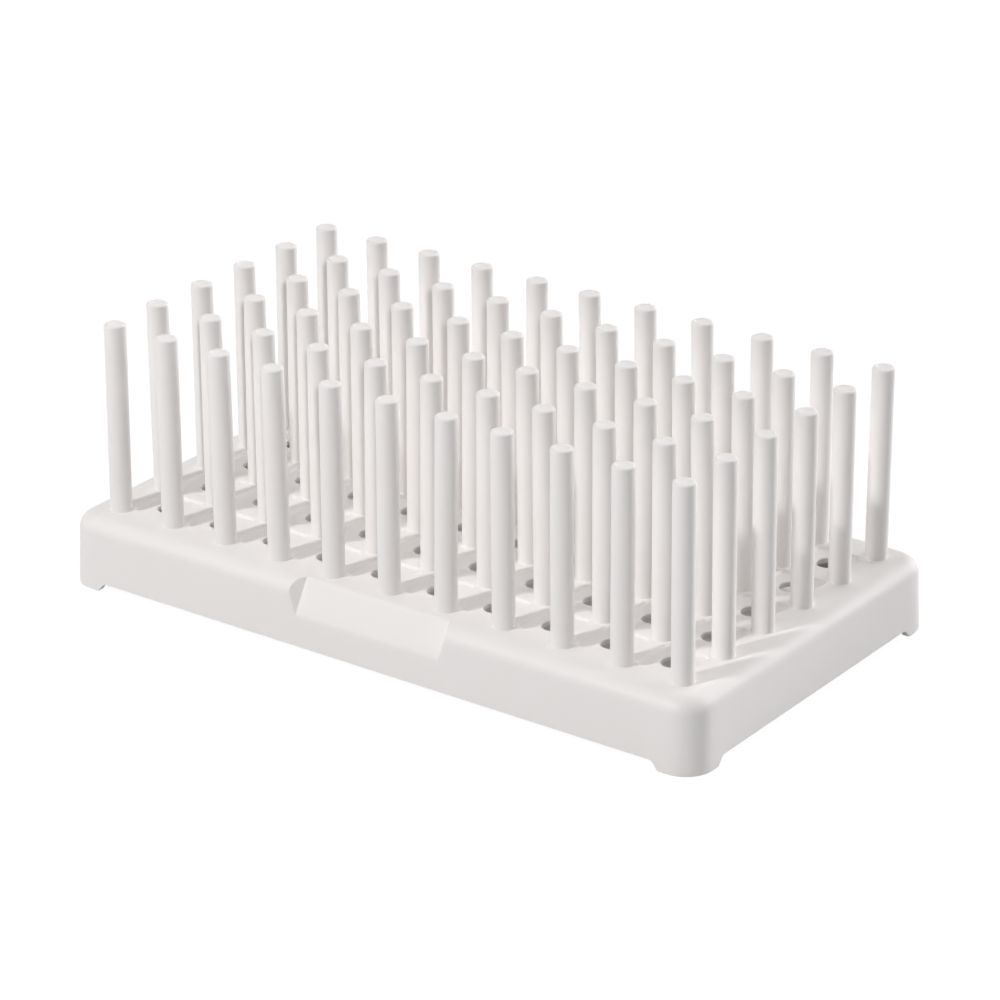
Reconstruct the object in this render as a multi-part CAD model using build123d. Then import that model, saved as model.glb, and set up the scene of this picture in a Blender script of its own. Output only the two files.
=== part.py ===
from build123d import *
import math
import os

os.makedirs("parts", exist_ok=True)

# A pegboard rack for drying test tubes and small glassware, moulded in one piece: a
# shallow tray base, open underneath, that carries a grid of upright pegs. A tube is
# slid upside down over a peg or stands between four of them, and the water runs off
# through the drain holes in the deck.
#
# Frame: origin at the centre of the base on the surface it stands on, +X along the
# length, -Y the long side with the finger rest, +Z up. Millimetres and degrees.

# ---- sizes -------------------------------------------------------------------------

# Peg grid
peg_pitch = 22.5
peg_columns = 11
peg_rows = 6

# Pegs
peg_diameter = 7.4
peg_height = 66.5

# Base: the border runs from the outer peg lines to the foot of the skirt
border = 13.5
base_height = 25.0
base_corner_radius = 10.0
skirt_draft = 2.5
deck_edge_radius = 5.6

# Walls of the moulding
skirt_thickness = 2.5
deck_thickness = 2.8

# Shallow square pans between the peg lines, each with a drain hole in its middle
land_width = 5.4
pan_depth = 0.9
pan_wall_slope = 30.0
drain_diameter = 8.5

# Feet: between the corners the lower edge is raised off the table
foot_gap_height = 3.0
foot_gap_ramp = 2.4
foot_gap_radius = 2.5

# Finger rest: a flat slope cut into the upper front edge, with flared ends
rest_width = 57.0
rest_inset = 6.0
rest_drop = 11.3
rest_end_flare = 40.0

# How far a cutting shape runs past what it cuts
overrun = 10.0

# ---- sizes that follow from these ---------------------------------------------------

grid_length = (peg_columns - 1) * peg_pitch
grid_width = (peg_rows - 1) * peg_pitch
base_length = grid_length + 2 * border
base_width = grid_width + 2 * border
ceiling_height = base_height - deck_thickness
draft_per_height = math.tan(math.radians(skirt_draft))


def tray_block(inset, height, edge_radius):
    """A drafted block inset from the base's outline, rounded along its upper edge."""
    outline = RectangleRounded(
        base_length - 2 * inset,
        base_width - 2 * inset,
        base_corner_radius - inset,
    )
    block = extrude(outline, amount=height, taper=skirt_draft)
    upper_edges = block.faces().sort_by(Axis.Z)[-1].edges()
    return fillet(upper_edges, edge_radius)


def rest_block(depth, widening):
    """The block that lies outside the finger rest's slope.

    depth sinks the slope into the base, and widening moves both its ends outwards.
    """
    deck_front = base_width / 2 - base_height * draft_per_height
    upper_y = rest_inset - deck_front
    lower_y = (base_height - rest_drop) * draft_per_height - base_width / 2
    run = upper_y - lower_y
    slope_length = math.hypot(run, rest_drop)
    outward = Vector(0, -rest_drop, run).normalized()
    slope_middle = Vector(0, (upper_y + lower_y) / 2, base_height - rest_drop / 2)
    slope = Plane(slope_middle - outward * depth, x_dir=(1, 0, 0), z_dir=outward)
    footprint = Rectangle(rest_width + 2 * widening, slope_length + 2 * overrun)
    return extrude(slope * footprint, amount=overrun + depth, taper=-rest_end_flare)


# ---- tray base: deck and skirt are one wall, which also follows the finger rest -----

outer = tray_block(0, base_height, deck_edge_radius) - rest_block(0, 0)
inner_edge_radius = deck_edge_radius - skirt_thickness
hollow = tray_block(skirt_thickness, ceiling_height, inner_edge_radius)
hollow -= rest_block(skirt_thickness, skirt_thickness)
base = outer - hollow

# ---- feet: one low gap through each pair of opposite sides ---------------------------


def gap_outline(span):
    """The outline of a gap under the skirt, with a ramp and an eased corner at each end."""
    low = span / 2
    high = low - foot_gap_ramp
    outline = Polyline(
        (-low, -overrun),
        (-low, 0),
        (-high, foot_gap_height),
        (high, foot_gap_height),
        (low, 0),
        (low, -overrun),
        close=True,
    )
    gap = make_face(outline)
    return fillet(gap.vertices().group_by(Axis.Y)[-1], foot_gap_radius)


base -= extrude(Plane.XZ * gap_outline(grid_length), amount=base_width, both=True)
base -= extrude(Plane.YZ * gap_outline(grid_width), amount=base_length, both=True)

# ---- pans and drain holes -------------------------------------------------------------

pan_side = peg_pitch - land_width - 2 * pan_depth * math.tan(math.radians(pan_wall_slope))
pan_floor = Plane.XY.offset(base_height - pan_depth)
pan = extrude(pan_floor * Rectangle(pan_side, pan_side), amount=pan_depth, taper=-pan_wall_slope)
drain_floor = Plane.XY.offset(ceiling_height - overrun)
drain = extrude(drain_floor * Circle(drain_diameter / 2), amount=2 * overrun)
cells = GridLocations(peg_pitch, peg_pitch, peg_columns - 1, peg_rows - 1)
base -= [cell * (pan + drain) for cell in cells]

# ---- pegs, rooted in the deck ----------------------------------------------------------

peg_root = Plane.XY.offset(ceiling_height)
peg = extrude(peg_root * Circle(peg_diameter / 2), amount=deck_thickness + peg_height)
places = GridLocations(peg_pitch, peg_pitch, peg_columns, peg_rows)
rack = base + [place * peg for place in places]

export_step(rack, "parts/peg_rack.step")
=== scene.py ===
import math

import bmesh
import bpy
import numpy as np
from mathutils import Matrix, Vector


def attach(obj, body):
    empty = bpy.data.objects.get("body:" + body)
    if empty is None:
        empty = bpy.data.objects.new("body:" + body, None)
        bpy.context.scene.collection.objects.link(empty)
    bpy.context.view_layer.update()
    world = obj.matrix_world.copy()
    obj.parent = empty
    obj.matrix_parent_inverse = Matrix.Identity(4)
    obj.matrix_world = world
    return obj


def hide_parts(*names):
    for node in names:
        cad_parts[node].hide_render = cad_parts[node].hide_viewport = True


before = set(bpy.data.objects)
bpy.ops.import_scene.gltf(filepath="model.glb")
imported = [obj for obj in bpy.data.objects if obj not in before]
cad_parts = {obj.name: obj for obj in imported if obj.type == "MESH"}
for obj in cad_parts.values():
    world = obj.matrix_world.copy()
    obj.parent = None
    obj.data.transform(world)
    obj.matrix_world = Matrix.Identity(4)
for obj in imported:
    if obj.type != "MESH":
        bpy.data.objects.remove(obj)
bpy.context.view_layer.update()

# ---------------------------------------------------------------------------------------
# Studio: a pale table in a bright room. One small lamp stands near, high up at the front
# left; weaker, broad ones shine from behind, from behind on the right and from overhead.
# The camera looks down on the rack's front right corner from about a metre and a half.
# ---------------------------------------------------------------------------------------

view_azimuth = math.radians(36.192)
view_elevation = math.radians(23.75)
view_roll = math.radians(-0.348)
view_distance = 1.4129
view_target = np.array([-0.01386, 0.02266, 0.0250])

toward_camera = np.array([
    math.sin(view_azimuth) * math.cos(view_elevation),
    -math.cos(view_azimuth) * math.cos(view_elevation),
    math.sin(view_elevation),
])
camera_right = np.array([math.cos(view_azimuth), math.sin(view_azimuth), 0.0])
camera_up = np.cross(toward_camera, camera_right)
# the roll turns the two sides of the frame about the line of sight
rolled_right = math.cos(view_roll) * camera_right + math.sin(view_roll) * camera_up
rolled_up = math.cos(view_roll) * camera_up - math.sin(view_roll) * camera_right

camera = bpy.data.objects.new("camera", bpy.data.cameras.new("camera"))
bpy.context.scene.collection.objects.link(camera)
camera.data.sensor_width = 36.0
camera.data.lens = 152.02
camera.data.clip_start, camera.data.clip_end = 0.05, 20.0
pose = np.eye(4)
pose[:3, 0], pose[:3, 1], pose[:3, 2] = rolled_right, rolled_up, toward_camera
pose[:3, 3] = view_target + view_distance * toward_camera
camera.matrix_world = Matrix(pose.tolist())
bpy.context.scene.camera = camera
bpy.context.scene.view_settings.view_transform = "Standard"


def add_broad_lamp(name, azimuth, elevation, strength, width):
    """A far lamp as wide as an angle: azimuth 0 stands on the -Y side, 90 on the +X side."""
    lamp = bpy.data.lights.new(name, "SUN")
    lamp.energy, lamp.angle = strength, math.radians(width)
    body = bpy.data.objects.new(name, lamp)
    bpy.context.scene.collection.objects.link(body)
    body.rotation_euler = (math.radians(90 - elevation), 0.0, math.radians(azimuth))


add_broad_lamp("back_window", azimuth=160.0, elevation=14.0, strength=1.95, width=40.0)
add_broad_lamp("side_window", azimuth=135.0, elevation=20.0, strength=0.30, width=20.0)
add_broad_lamp("ceiling", azimuth=0.0, elevation=90.0, strength=0.98, width=80.0)

key_target = Vector((0.0, 0.0, 0.04))
key_lamp = bpy.data.lights.new("key_lamp", "AREA")
key_lamp.shape, key_lamp.size, key_lamp.energy = "DISK", 0.11, 11.7
key_body = bpy.data.objects.new("key_lamp", key_lamp)
bpy.context.scene.collection.objects.link(key_body)
key_body.location = (-0.414, -1.220, 0.990)
key_body.rotation_euler = (
    key_target - key_body.location).to_track_quat("-Z", "Y").to_euler()


def mix_by_ray(nodes, links, seen, lit):
    """The seen shader for camera, gloss and transmission rays, the lit one for the rest."""
    ray = nodes.new("ShaderNodeLightPath")
    first_two = nodes.new("ShaderNodeMath")
    first_two.operation, first_two.use_clamp = "ADD", True
    all_three = nodes.new("ShaderNodeMath")
    all_three.operation, all_three.use_clamp = "ADD", True
    links.new(ray.outputs["Is Camera Ray"], first_two.inputs[0])
    links.new(ray.outputs["Is Glossy Ray"], first_two.inputs[1])
    links.new(first_two.outputs[0], all_three.inputs[0])
    links.new(ray.outputs["Is Transmission Ray"], all_three.inputs[1])
    mix = nodes.new("ShaderNodeMixShader")
    links.new(all_three.outputs[0], mix.inputs[0])
    links.new(lit, mix.inputs[1])
    links.new(seen, mix.inputs[2])
    return mix.outputs[0]


white = (1.0, 1.0, 1.0, 1.0)
room = bpy.data.worlds.new("room")
bpy.context.scene.world = room
room.use_nodes = True
nodes, links = room.node_tree.nodes, room.node_tree.links
nodes.clear()
seen_room = nodes.new("ShaderNodeBackground")
seen_room.inputs["Color"].default_value = white
seen_room.inputs["Strength"].default_value = 1.0
lit_room = nodes.new("ShaderNodeBackground")
lit_room.inputs["Color"].default_value = white
lit_room.inputs["Strength"].default_value = 0.06
room_output = nodes.new("ShaderNodeOutputWorld")
links.new(mix_by_ray(nodes, links, seen_room.outputs[0], lit_room.outputs[0]),
          room_output.inputs["Surface"])

# Outside, the table is seen as nearly white with a little of its own shade left. Under the
# hollow rack it keeps most of its own grey, so that the drain holes look into the dark. A
# box tells the two apart: an axis, its middle and its reach, with an edge that is soft.
table_reach = 4
table_glow = 1.09
hollow_box = [("X", -0.006, 0.116), ("Y", 0.005, 0.061)]
hollow_edge = 0.004
white_in_hollow, white_outside = 0.14, 0.88

table_mesh = bpy.data.meshes.new("table")
table_mesh.from_pydata(
    [(-table_reach, -table_reach, 0), (table_reach, -table_reach, 0),
     (table_reach, table_reach, 0), (-table_reach, table_reach, 0)], [], [(0, 1, 2, 3)])
table_top = bpy.data.objects.new("table", table_mesh)
bpy.context.scene.collection.objects.link(table_top)
table_material = bpy.data.materials.new("table_white")
table_material.use_nodes = True
nodes, links = table_material.node_tree.nodes, table_material.node_tree.links
nodes.clear()
table_finish = nodes.new("ShaderNodeBsdfDiffuse")
table_finish.inputs["Color"].default_value = (0.80, 0.80, 0.80, 1.0)
table_white = nodes.new("ShaderNodeEmission")
table_white.inputs["Color"].default_value = white
table_white.inputs["Strength"].default_value = table_glow
table_output = nodes.new("ShaderNodeOutputMaterial")
place = nodes.new("ShaderNodeTexCoord")
across = nodes.new("ShaderNodeSeparateXYZ")
links.new(place.outputs["Object"], across.inputs[0])
whiteness = nodes.new("ShaderNodeMath")
whiteness.operation = "MAXIMUM"
for n, (axis, middle, reach) in enumerate(hollow_box):
    from_middle = nodes.new("ShaderNodeMath")
    from_middle.operation = "SUBTRACT"
    from_middle.inputs[1].default_value = middle
    links.new(across.outputs[axis], from_middle.inputs[0])
    distance = nodes.new("ShaderNodeMath")
    distance.operation = "ABSOLUTE"
    links.new(from_middle.outputs[0], distance.inputs[0])
    outside = nodes.new("ShaderNodeMapRange")
    outside.inputs["From Min"].default_value = reach - hollow_edge
    outside.inputs["From Max"].default_value = reach + hollow_edge
    outside.inputs["To Min"].default_value = white_in_hollow
    outside.inputs["To Max"].default_value = white_outside
    links.new(distance.outputs[0], outside.inputs["Value"])
    links.new(outside.outputs[0], whiteness.inputs[n])
veil = nodes.new("ShaderNodeMixShader")
links.new(whiteness.outputs[0], veil.inputs[0])
links.new(table_finish.outputs[0], veil.inputs[1])
links.new(table_white.outputs[0], veil.inputs[2])
links.new(mix_by_ray(nodes, links, veil.outputs[0], table_finish.outputs[0]),
          table_output.inputs["Surface"])
table_mesh.materials.append(table_material)

# ---------------------------------------------------------------------------------------
# Deck: the flat top of the tray. Between every four pegs it sinks into a shallow square
# pan with soft lips, and a round drain hole goes through the middle of each pan. The
# deck is moulded together with the pegs and the skirt.
# ---------------------------------------------------------------------------------------

# lengths in metres, heights above the table
pitch = 0.0225
column_count = 11
row_count = 6
deck_height = 0.0250
ceiling_height = 0.0222
pan_depth = 0.0009
lip_start, lip_end = 0.00775, 0.00880
pan_corner_radius = 0.0012
lip_corner_gain = 0.0008
drain_radius = 0.0038
drain_rim = 0.00045
cove_reach = 0.0040
half_cell = pitch / 2
grid_x = (column_count - 1) * pitch / 2
grid_y = (row_count - 1) * pitch / 2

# steps in a quarter of the way round a peg or a corner
arc_steps = 8
# points along a cell's straight edge; the front row has more, for the finger rest's flare
plain_edge = np.linspace(-1, 1, 5) * (half_cell - cove_reach)
rest_edge = np.array([-7.25, -5.25, -4.55, -3.85, -3.15, -2.43, 0.0,
                      2.43, 3.15, 3.85, 4.55, 5.25, 7.25]) * 1e-3

surfaces = []


def keep_surface(points, flip=False):
    """Notes a grid of points as part of the moulding's skin. Each row of it is a closed
    ring; flip is for a side that faces down or inwards."""
    surfaces.append((points, flip))


def turn(points, quarter_turns):
    """Plan points turned counter-clockwise by quarter turns about the origin."""
    c, s = [(1, 0), (0, 1), (-1, 0), (0, -1)][quarter_turns % 4]
    return np.stack([c * points[:, 0] - s * points[:, 1],
                     s * points[:, 0] + c * points[:, 1]], axis=1)


def cell_outline(front_edge):
    """A cell's outline round its middle: four straight edges that stop short of the pegs
    at the corners, joined by quarter circles of radius cove_reach about the pegs."""
    pieces = []
    for side in range(4):
        along = front_edge if side == 3 else plain_edge
        edge = np.stack([np.full(len(along), half_cell), along], axis=1)
        angle = np.radians(-90 - np.arange(1, arc_steps) * 90 / arc_steps)
        corner = half_cell + cove_reach * np.stack([np.cos(angle), np.sin(angle)], axis=1)
        pieces.append(turn(np.concatenate([edge, corner]), side))
    return np.concatenate(pieces)


def round_square(direction, half_side, corner_radius):
    """Distance from the middle to a rounded square's edge along unit directions: the
    straight side where the ray meets it, and the corner's circle elsewhere."""
    u = np.sort(np.abs(direction), axis=1)[:, ::-1]
    straight = half_side / u[:, 0]
    inner = half_side - corner_radius
    on_middle = u @ np.array([inner, inner])
    corner = on_middle + np.sqrt(np.maximum(
        on_middle ** 2 - 2 * inner ** 2 + corner_radius ** 2, 0.0))
    return np.where(straight * u[:, 1] <= inner, straight, corner)


def deck_cell(front_edge):
    """One cell's skin from the hole's lower rim, up its wall, over the pan's floor and
    lip, to the outline on the deck: rings of radial distance and height. The hole's rim
    is a quarter circle, and the lip rises by the smooth step 3 s squared less 2 s cubed."""
    outline = cell_outline(front_edge)
    reach = np.linalg.norm(outline, axis=1)
    direction = outline / reach[:, None]
    floor = deck_height - pan_depth
    swing = np.radians([0, 30, 60, 90])
    rings = [(drain_radius, ceiling_height)] + [
        (drain_radius + drain_rim * (1 - math.cos(a)), floor - drain_rim * (1 - math.sin(a)))
        for a in swing]
    skin = [np.column_stack([direction * r, np.full(len(outline), z)]) for r, z in rings]
    inner = round_square(direction, lip_start, pan_corner_radius)
    # two rings on the pan's floor turn the hole's circle into the pan's square
    for share in (0.35, 0.75):
        r = (1 - share) * (drain_radius + drain_rim) + share * inner
        skin.append(np.column_stack([direction * r[:, None], np.full(len(r), floor)]))
    for share in np.linspace(0, 1, 5):
        half_side = lip_start + (lip_end - lip_start) * share
        r = round_square(direction, half_side, pan_corner_radius + lip_corner_gain * share)
        rise = share * share * (3 - 2 * share)
        z = np.full(len(r), floor + pan_depth * rise)
        skin.append(np.column_stack([direction * r[:, None], z]))
    skin.append(np.column_stack([outline, np.full(len(reach), deck_height)]))
    return np.array(skin)


def ceiling_cell(front_edge):
    """The flat underside of one cell, from the hole's lower rim to the outline."""
    outline = cell_outline(front_edge)
    direction = outline / np.linalg.norm(outline, axis=1)[:, None]
    rim = direction * drain_radius
    plan = np.array([rim, outline])
    return np.concatenate([plan, np.full(plan.shape[:2] + (1,), ceiling_height)], axis=2)


for j in range(row_count - 1):
    front = rest_edge if j == 0 else plain_edge
    deck, ceiling = deck_cell(front), ceiling_cell(front)
    for i in range(column_count - 1):
        shift = np.array([(i + 0.5) * pitch - grid_x, (j + 0.5) * pitch - grid_y, 0.0])
        keep_surface(deck + shift)
        keep_surface(ceiling + shift, flip=True)

# ---------------------------------------------------------------------------------------
# Pegs: round, straight rods that grow out of the deck through a tiny cove. The tip is
# flat with a softly rounded edge and the shallow round mark of the mould's ejector.
# They cool a little unevenly: each leans its own way, by up to about a millimetre.
# ---------------------------------------------------------------------------------------

peg_radius = 0.0037
peg_height = 0.0665
peg_sides = 4 * arc_steps

# how far each tip stands off its root along X, in tenths of a millimetre: front row
# first, each row from left to right
tip_leans = 1e-4 * np.array([
    [8, 2, -4, -8, 2, 3, 10, -2, -2, 1, -4],
    [-2, 1, 0, 1, 10, 9, 5, -5, 0, -2, -4],
    [2, 5, 4, 4, 8, 8, -5, -3, -1, -12, -5],
    [3, 7, 2, 0, 6, -1, -6, -2, -8, -7, 0],
    [3, 2, -2, 1, 2, -6, -9, -9, -6, -2, 0],
    [3, -2, -3, -4, 0, -10, -11, -11, -3, 1, 5]])

# radius and height: the cove, the rod, the rounded edge, the flat tip, the sunk mark
peg_profile = np.array([
    (cove_reach, 0.0), (0.00388, 0.00004), (0.00377, 0.00014),
    (peg_radius, 0.00035), (peg_radius, peg_height - 0.00075),
    (0.00364, peg_height - 0.00046), (0.00348, peg_height - 0.00022),
    (0.00324, peg_height - 0.00006), (0.00295, peg_height), (0.00250, peg_height),
    (0.00236, peg_height - 0.00016), (0.00216, peg_height - 0.0002),
    (0.0, peg_height - 0.0002)])


def peg_skin(lean):
    """A profile of radius and height turned about the peg's axis, with the axis leant
    along X in proportion to the height."""
    angle = np.arange(peg_sides) * 2 * np.pi / peg_sides
    r, z = peg_profile[:, :1], peg_profile[:, 1:]
    x = r * np.cos(angle) + lean * z / peg_height
    y = np.broadcast_to(r * np.sin(angle), x.shape)
    return np.stack([x, y, np.broadcast_to(z + deck_height, x.shape)], axis=2)


def root_disc():
    """The flat disc under a peg's root that closes the deck's underside: a circle of
    radius cove_reach drawn in to its middle."""
    angle = np.arange(peg_sides) * 2 * np.pi / peg_sides
    r = np.array([[cove_reach], [0.0]])
    x, y = r * np.cos(angle), r * np.sin(angle)
    return np.stack([x, y, np.full(x.shape, ceiling_height)], axis=2)


for j in range(row_count):
    for i in range(column_count):
        place = np.array([i * pitch - grid_x, j * pitch - grid_y, 0.0])
        keep_surface(peg_skin(tip_leans[j, i]) + place)
        keep_surface(root_disc() + place, flip=True)

# ---------------------------------------------------------------------------------------
# Skirt: the tray's wall. It rounds over from the deck's border and runs down, slightly
# spread, to four corner feet; between them the lower edge is raised. The finger rest is
# a flat slope across the middle of the front edge, and the wall follows it inside.
# ---------------------------------------------------------------------------------------

border = 0.0135
skirt_thickness = 0.0025
corner_radius = 0.0100
deck_edge_radius = 0.0056
spread = math.tan(math.radians(2.5))
foot_gap_height = 0.0030
foot_gap_ramp = 0.0024
foot_gap_radius = 0.0025

# the finger rest: how far in its upper edge stands, its drop, half its length and the
# flare of its ends, the wear of its two edges, and the least it takes out of the rounding
rest_inset = 0.0060
rest_drop = 0.0113
rest_half = 0.0285
rest_flare = math.radians(40)
rest_upper_wear = 0.0018
rest_lower_wear = 0.0012
least_cut = math.radians(6)


def border_path():
    """The grid's outline, counter-clockwise from the front left peg's front side, round
    every outer peg, with the point of the peg line, or the corner's pivot, that each
    column of the wall stands off from, and the way it faces."""
    start, pivot, facing, set_in = [], [], [], []
    runs = [(column_count - 1, np.array([-grid_x, -grid_y]), 0),
            (row_count - 1, np.array([grid_x, -grid_y]), 1),
            (column_count - 1, np.array([grid_x, grid_y]), 2),
            (row_count - 1, np.array([-grid_x, grid_y]), 3)]
    pivot_out = border - corner_radius
    for cells, corner, side in runs:
        along, out = turn(np.array([[1.0, 0.0], [0.0, -1.0]]), side)
        edge = rest_edge if side == 0 else plain_edge
        for n in range(cells + 1):
            peg = corner + along * n * pitch
            first, last = (270, 360) if n == 0 else (180, 270) if n == cells else (180, 360)
            steps = arc_steps if first + 90 == last else 2 * arc_steps
            angle = np.radians(np.linspace(first, last, steps + 1))
            local = cove_reach * np.stack([np.cos(angle), np.sin(angle)], axis=1)
            arc = peg + turn(local, side)
            start.append(arc)
            pivot.append(peg + along * local[:, :1])
            facing.append(np.broadcast_to(out, arc.shape))
            set_in.append(np.zeros(len(arc)))
            if n < cells:
                middle = peg + along * half_cell
                part = middle + along * edge[1:-1, None]
                start.append(part)
                pivot.append(part)
                facing.append(np.broadcast_to(out, part.shape))
                set_in.append(np.zeros(len(part)))
        # the corner: the arc round the corner peg leads to the wall's own corner
        peg = corner + along * cells * pitch
        next_out = turn(out[None], 1)[0]
        angle = np.radians(np.linspace(270, 360, arc_steps + 1)[1:-1])
        local = cove_reach * np.stack([np.cos(angle), np.sin(angle)], axis=1)
        start.append(peg + turn(local, side))
        share = np.linspace(0, 1, arc_steps - 1)[:, None]
        swing = np.radians(90) * share
        pivot.append(np.broadcast_to(peg + pivot_out * (out + next_out), (arc_steps - 1, 2)))
        facing.append(out * np.cos(swing) + next_out * np.sin(swing))
        set_in.append(np.full(arc_steps - 1, pivot_out))
    return [np.concatenate(part) for part in (start, pivot, facing, set_in)]


def foot_rise(distance):
    """Height of the lower edge at a distance inwards from a foot's end: nothing under
    the foot, then a straight ramp, a rounded corner and the level gap."""
    slope = foot_gap_height / foot_gap_ramp
    tangent = foot_gap_radius * math.tan(math.atan(slope) / 2)
    middle = foot_gap_ramp + tangent
    ramp = np.clip(distance, 0, None) * slope
    rounded = foot_gap_height - foot_gap_radius + np.sqrt(np.maximum(
        foot_gap_radius ** 2 - (middle - distance) ** 2, 0.0))
    rise = np.where(distance < foot_gap_ramp - tangent * math.cos(math.atan(slope)),
                    ramp, rounded)
    return np.where(distance > middle, foot_gap_height, rise)


def eased(before, corner, after, reach):
    """A corner worn round: the quadratic curve that leaves the line from before at the
    given reach short of the corner and joins the line to after as far past it, and never
    takes quite half of either line."""
    ends = []
    for other in (before, after):
        way = other - corner
        length = np.maximum(np.linalg.norm(way, axis=1), 1e-9)
        ends.append(corner + way * np.minimum(reach / length, 0.48)[:, None])
    return [(1 - t) ** 2 * ends[0] + 2 * t * (1 - t) * corner + t * t * ends[1]
            for t in np.linspace(0, 1, 6)]


def wall_profile(stand_off, first, low, offset, top, edge_radius, sink, widen):
    """One wall's section for each column, as distance from the peg line and height: level
    from first to the rounding, a circle's arc round it, and a straight line down the
    skirt to low. Where the finger rest crosses, a straight slope replaces the part
    between its two crossings, with both corners worn round; rows that the slope leaves
    without a place of their own stand between its crossings and their neighbours. The
    skirt's line is at offset at the table, the deck's at top; sink moves the slope in
    along its own normal, and widen moves its ends apart."""
    lean = math.atan(spread)
    centre_z = top - edge_radius
    centre_d = offset - centre_z * spread - edge_radius / math.cos(lean)
    deck_front = border - deck_height * spread
    upper = np.array([deck_front - rest_inset, deck_height])
    lower = np.array([border - (deck_height - rest_drop) * spread, deck_height - rest_drop])
    slope_way = (lower - upper) / np.linalg.norm(lower - upper)
    outward = np.array([-slope_way[1], slope_way[0]])
    tilt = math.atan2(outward[0], outward[1])
    flare = np.maximum(stand_off - rest_half - widen, 0) / math.tan(rest_flare)
    level = upper @ outward - sink + flare
    from_centre = level - (centre_d * outward[0] + centre_z * outward[1])
    half_swing = np.arccos(np.clip(from_centre / edge_radius, -1, 1))
    half_swing = np.maximum(half_swing, least_cut)
    cut = from_centre < edge_radius * math.cos(least_cut)
    turn_up, turn_down = tilt - half_swing, tilt + half_swing
    last_turn = math.pi / 2 - lean

    def on_edge(swing):
        return np.stack([centre_d + edge_radius * np.sin(swing),
                         centre_z + edge_radius * np.cos(swing)], axis=-1)

    on_deck = np.stack([(level - top * outward[1]) / outward[0],
                        np.full(level.shape, top)], axis=-1)
    z_skirt = (level - offset * outward[0]) / (outward[1] - spread * outward[0])
    on_skirt = np.stack([offset - z_skirt * spread, z_skirt], axis=-1)
    crossing_up = np.where((turn_up < 0)[:, None], on_deck, on_edge(turn_up))
    crossing_down = np.where((turn_down > last_turn)[:, None], on_skirt, on_edge(turn_down))
    deck_end = np.where(turn_up < 0, crossing_up[:, 0], centre_d)
    rows = []
    # the level border, then the arc's upper part, or rows parked on the border instead
    for share in (0.0, 0.5):
        d = first + (deck_end - first) * share
        rows.append(np.stack([d, np.full(d.shape, top)], axis=-1))
    for share in np.linspace(0, 1, 6)[:-1]:
        point = on_edge(np.maximum(turn_up, 0) * share)
        short_of = first + (deck_end - first) * (0.6 + 0.1 * share)
        point[:, 0] = np.where(turn_up < 0, short_of, point[:, 0])
        point[:, 1] = np.where(turn_up < 0, top, point[:, 1])
        rows.append(point)
    # the slope with its worn corners, or the same stretch of the arc where it isn't cut
    half_way = np.where(cut[:, None], (crossing_up + crossing_down) / 2,
                        on_edge((turn_up + turn_down) / 2))
    turned = turn_down[:, None] > last_turn
    arc_shares = (0.34, 0.67, 1.0)
    beyond = on_edge(turn_down + (last_turn - turn_down) * arc_shares[0])
    skirt_low = np.stack([offset - low * spread, low], axis=-1)
    rows += eased(rows[-1], crossing_up, half_way, rest_upper_wear)
    rows.append(half_way)
    rows += eased(half_way, crossing_down, np.where(turned, skirt_low, beyond),
                  rest_lower_wear)
    # the arc's lower part, or rows parked on the skirt instead, and the skirt
    for share in arc_shares:
        swing = turn_down + (last_turn - turn_down) * share
        past = crossing_down + (skirt_low - crossing_down) * (0.3 + 0.1 * share)
        rows.append(np.where(turned, past, on_edge(swing)))
    for share in (0.3, 0.6, 0.85, 1.0):
        rows.append(rows[-1] + (skirt_low - rows[-1]) * share)
    return np.array(rows)


path, pivot, facing, set_in = border_path()
squarely = 0.999999
out_of_reach = 1.0

# stand_off is the distance from the finger rest's middle, and inward the distance from a
# foot's end; a column that has no such distance gets one that leaves its wall plain
on_front = facing[:, 1] < -squarely
stand_off = np.where(on_front, np.abs(pivot[:, 0]), out_of_reach)
on_long = (np.abs(facing[:, 1]) > squarely) & (set_in == 0)
on_short = (np.abs(facing[:, 0]) > squarely) & (set_in == 0)
inward = np.where(on_long, grid_x - np.abs(path[:, 0]), -out_of_reach)
inward = np.where(on_short, grid_y - np.abs(path[:, 1]), inward)
lower_edge = foot_rise(inward)
first = np.einsum("ij,ij->i", path - pivot, facing)


def wall_skin(offset, top, edge_radius, sink, widen):
    """The wall's section carried round the border path: each column's distances run
    from its pivot the way it faces, and its level start is the path itself."""
    section = wall_profile(stand_off, first + set_in, lower_edge, offset, top,
                           edge_radius, sink, widen)
    away = section[:, :, 0] - set_in
    plan = pivot + away[:, :, None] * facing
    plan[0] = path
    plan[1] = (plan[0] + plan[2]) / 2
    return np.concatenate([plan, section[:, :, 1:]], axis=2)


# the inner wall is sunk and widened by the thickness, so that the slope keeps it too
outer_wall = wall_skin(border, deck_height, deck_edge_radius, 0.0, 0.0)
inner_wall = wall_skin(border - skirt_thickness, ceiling_height,
                       deck_edge_radius - skirt_thickness, skirt_thickness, skirt_thickness)
keep_surface(outer_wall)
keep_surface(inner_wall, flip=True)
keep_surface(np.array([outer_wall[-1], inner_wall[-1]]))

# ---------------------------------------------------------------------------------------
# Moulding: deck, pegs and skirt come out of one mould in one shot of white polypropylene,
# so their skins are welded into one. The finely eroded mould leaves a grain, drawn into
# upright lines where the rack is pushed out; the faces sink and shine a bit unevenly.
# ---------------------------------------------------------------------------------------

weld_steps_per_metre = 2e6
sharp_from = math.radians(24)
waves_depth = 0.00012
grain_depth = 0.000012


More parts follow.
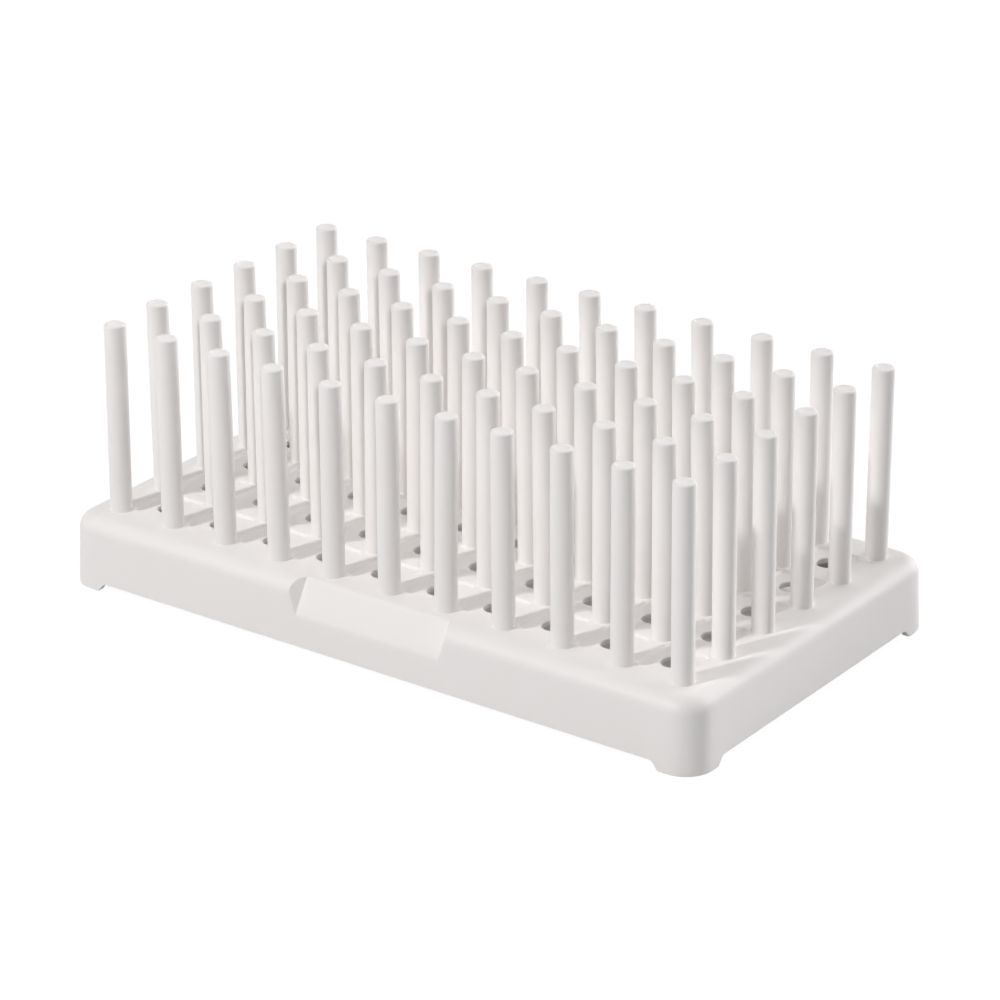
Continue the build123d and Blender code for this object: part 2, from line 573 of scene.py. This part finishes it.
def ring_faces(rows, columns, flip, first_number):
    """Four-cornered faces between neighbouring rings of points: the corner in row r and
    column c has the number r times columns plus c, and the last column meets the first."""
    r, c = np.meshgrid(np.arange(rows - 1), np.arange(columns), indexing="ij")
    c_next = (c + 1) % columns
    corners = [r * columns + c, r * columns + c_next,
               (r + 1) * columns + c_next, (r + 1) * columns + c]
    faces = np.stack(corners[::-1] if flip else corners, axis=-1).reshape(-1, 4)
    return faces + first_number


points, faces, count = [], [], 0
for grid, flip in surfaces:
    rows, columns = grid.shape[:2]
    points.append(grid.reshape(-1, 3))
    faces.append(ring_faces(rows, columns, flip, count))
    count += rows * columns
points, faces = np.concatenate(points), np.concatenate(faces)
# points that fall on the same half micrometre are one point of the skin
_, kept, joined = np.unique(np.round(points * weld_steps_per_metre).astype(np.int64),
                            axis=0, return_index=True, return_inverse=True)
faces = joined.reshape(-1)[faces]
moulding_mesh = bpy.data.meshes.new("peg_rack_moulding")
# where two rows meet in a point, a face has a corner twice and is a triangle
repeated = faces == np.roll(faces, 1, axis=1)
spare = repeated.sum(axis=1)
quads = faces[spare == 0]
triangles = faces[spare == 1][~repeated[spare == 1]].reshape(-1, 3)
moulding_mesh.from_pydata(points[kept].tolist(), [], quads.tolist() + triangles.tolist())
sculpt = bmesh.new()
sculpt.from_mesh(moulding_mesh)
bmesh.ops.recalc_face_normals(sculpt, faces=sculpt.faces)
sculpt.to_mesh(moulding_mesh)
sculpt.free()
moulding_mesh.shade_smooth()
moulding_mesh.set_sharp_from_angle(angle=sharp_from)
moulding = bpy.data.objects.new("peg_rack_moulding", moulding_mesh)
bpy.context.scene.collection.objects.link(moulding)
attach(moulding, "root")
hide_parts("peg_rack")

plastic = bpy.data.materials.new("white_polypropylene")
plastic.use_nodes = True
nodes, links = plastic.node_tree.nodes, plastic.node_tree.links
shader = nodes["Principled BSDF"]
shader.inputs["IOR"].default_value = 1.49
place = nodes.new("ShaderNodeTexCoord")


def plastic_noise(size, detail, upright_stretch=1.0):
    """Soft noise of the place in the rack, with spots of the given size in metres that
    are longer along the height by the given stretch."""
    drawn = nodes.new("ShaderNodeMapping")
    drawn.inputs["Scale"].default_value = (1.0, 1.0, 1.0 / upright_stretch)
    links.new(place.outputs["Object"], drawn.inputs["Vector"])
    noise = nodes.new("ShaderNodeTexNoise")
    noise.inputs["Scale"].default_value = 1.0 / size
    noise.inputs["Detail"].default_value = detail
    links.new(drawn.outputs["Vector"], noise.inputs["Vector"])
    return noise.outputs["Fac"]


def ranged(value, low, high):
    """A noise's middle half, a quarter to three quarters, carried in proportion to the
    span from low to high."""
    carried = nodes.new("ShaderNodeMapRange")
    carried.inputs["From Min"].default_value = 0.25
    carried.inputs["From Max"].default_value = 0.75
    carried.inputs["To Min"].default_value = low
    carried.inputs["To Max"].default_value = high
    links.new(value, carried.inputs["Value"])
    return carried.outputs["Result"]


def summed(a, b):
    """Two values added."""
    add = nodes.new("ShaderNodeMath")
    add.operation = "ADD"
    links.new(a, add.inputs[0])
    links.new(b, add.inputs[1])
    return add.outputs[0]


flow = plastic_noise(0.030, 3.0)
grain = plastic_noise(0.0004, 2.0, upright_stretch=14.0)
waves = plastic_noise(0.016, 1.0)

tone = nodes.new("ShaderNodeMix")
tone.data_type = "RGBA"
tone.inputs["A"].default_value = (0.928, 0.900, 0.885, 1.0)
tone.inputs["B"].default_value = (0.944, 0.918, 0.904, 1.0)
links.new(ranged(flow, 0.0, 1.0), tone.inputs["Factor"])
links.new(tone.outputs["Result"], shader.inputs["Base Color"])
links.new(summed(ranged(flow, 0.46, 0.54), ranged(grain, -0.04, 0.04)),
          shader.inputs["Roughness"])

sinks = nodes.new("ShaderNodeBump")
sinks.inputs["Strength"].default_value = 1.0
sinks.inputs["Distance"].default_value = waves_depth
links.new(waves, sinks.inputs["Height"])
eroded = nodes.new("ShaderNodeBump")
eroded.inputs["Strength"].default_value = 1.0
eroded.inputs["Distance"].default_value = grain_depth
links.new(grain, eroded.inputs["Height"])
links.new(sinks.outputs["Normal"], eroded.inputs["Normal"])
links.new(eroded.outputs["Normal"], shader.inputs["Normal"])
moulding_mesh.materials.append(plastic)
